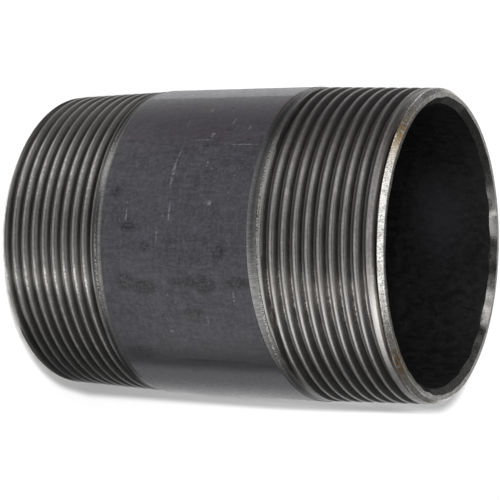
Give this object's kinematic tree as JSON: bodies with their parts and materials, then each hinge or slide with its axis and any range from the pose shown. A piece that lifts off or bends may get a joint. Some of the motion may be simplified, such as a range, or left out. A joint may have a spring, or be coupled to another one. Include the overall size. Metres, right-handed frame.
{
  "type": "pipe nipple",
  "caption": "Short steel pipe with an outside taper thread on each end, joining female-threaded fittings in a pipe run.",
  "frame": {"origin": "centre of the lower end face", "axes": "+Z along the pipe's axis, out of the upper end; the part stands on its lower end face"},
  "size_m": [0.0604, 0.0604, 0.08],
  "materials": {
    "dark_mill_steel": "dark mill skin with a satin sheen on the barrel, bare machined threads and end faces"
  },
  "bodies": {
    "root": {"pipe_nipple": "dark_mill_steel"}
  },
  "joints": []
}
